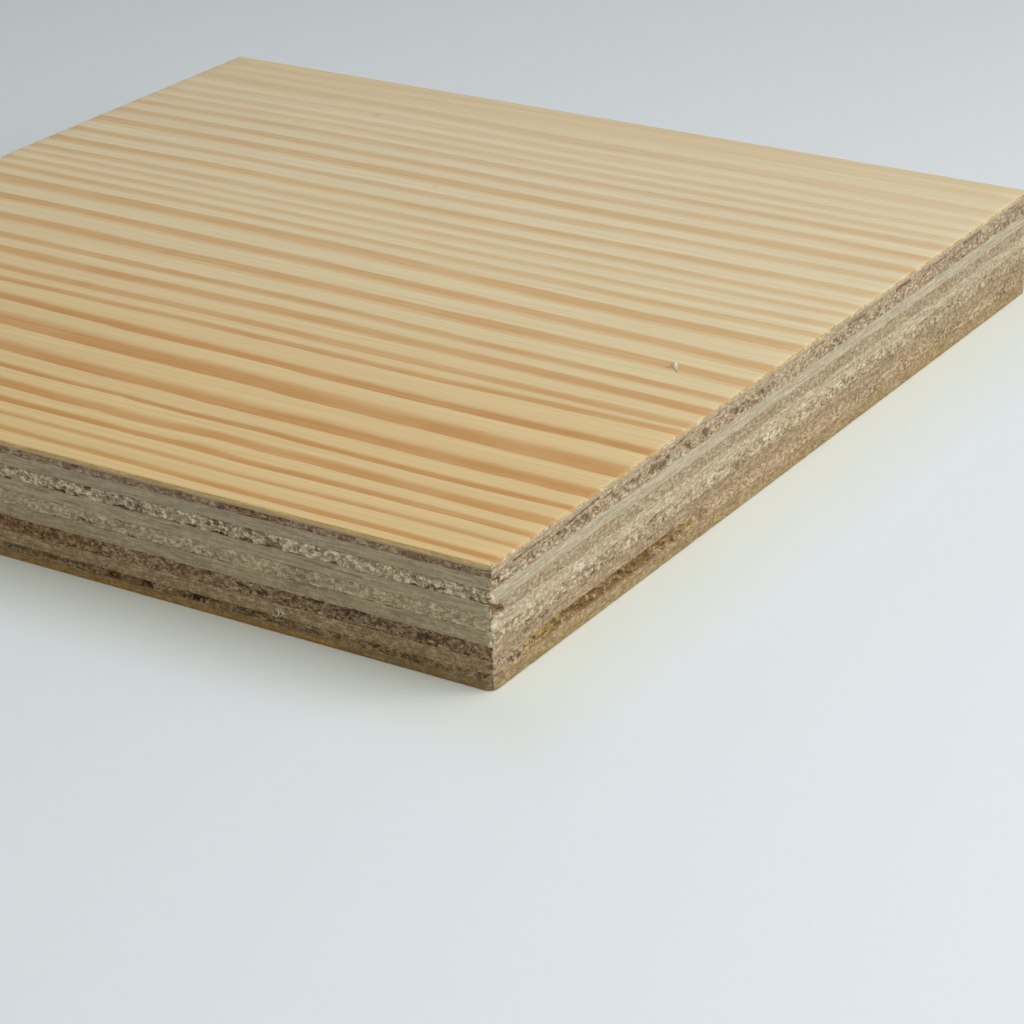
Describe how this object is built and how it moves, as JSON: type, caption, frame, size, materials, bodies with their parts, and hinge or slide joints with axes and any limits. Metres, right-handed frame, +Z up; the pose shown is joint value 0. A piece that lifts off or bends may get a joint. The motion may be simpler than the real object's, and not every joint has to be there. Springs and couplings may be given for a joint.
{
  "type": "plywood sheet",
  "caption": "Small square cut of plywood lying flat: a thin softwood face veneer over cross-banded plies, with raw sawn edges that show every layer.",
  "frame": {"origin": "middle of the underside, on the surface that the piece lies on", "axes": "+Z up through the thickness, +X across the face grain along the front sawn edge, +Y along the face grain"},
  "size_m": [0.165, 0.162, 0.018],
  "materials": {
    "face_veneer": "knife-cut softwood veneer, growth lines along the grain, matt",
    "crossband_2": "thin veneer laid across the face grain, raw sawn edge, matt",
    "long_ply_3": "veneer laid with the face grain, raw sawn edge, matt",
    "crossband_4": "veneer laid across the face grain, torn end grain, matt",
    "long_ply_5": "veneer laid with the face grain, raw sawn edge, matt",
    "crossband_6": "veneer laid across the face grain, raw sawn edge, matt",
    "long_ply_7": "veneer laid with the face grain, raw sawn edge, matt",
    "crossband_8": "brown veneer laid across the face grain, pitted end grain, matt",
    "long_ply_9": "brown-grey veneer laid with the face grain, raw sawn edge, matt",
    "crossband_10": "thin dark veneer laid across the face grain, pitted end grain, matt",
    "back_veneer": "ochre veneer laid with the face grain, matt"
  },
  "bodies": {
    "root": {"face_veneer": "face_veneer", "crossband_2": "crossband_2", "long_ply_3": "long_ply_3", "crossband_4": "crossband_4", "long_ply_5": "long_ply_5", "crossband_6": "crossband_6", "long_ply_7": "long_ply_7", "crossband_8": "crossband_8", "long_ply_9": "long_ply_9", "crossband_10": "crossband_10", "back_veneer": "back_veneer"}
  },
  "joints": []
}
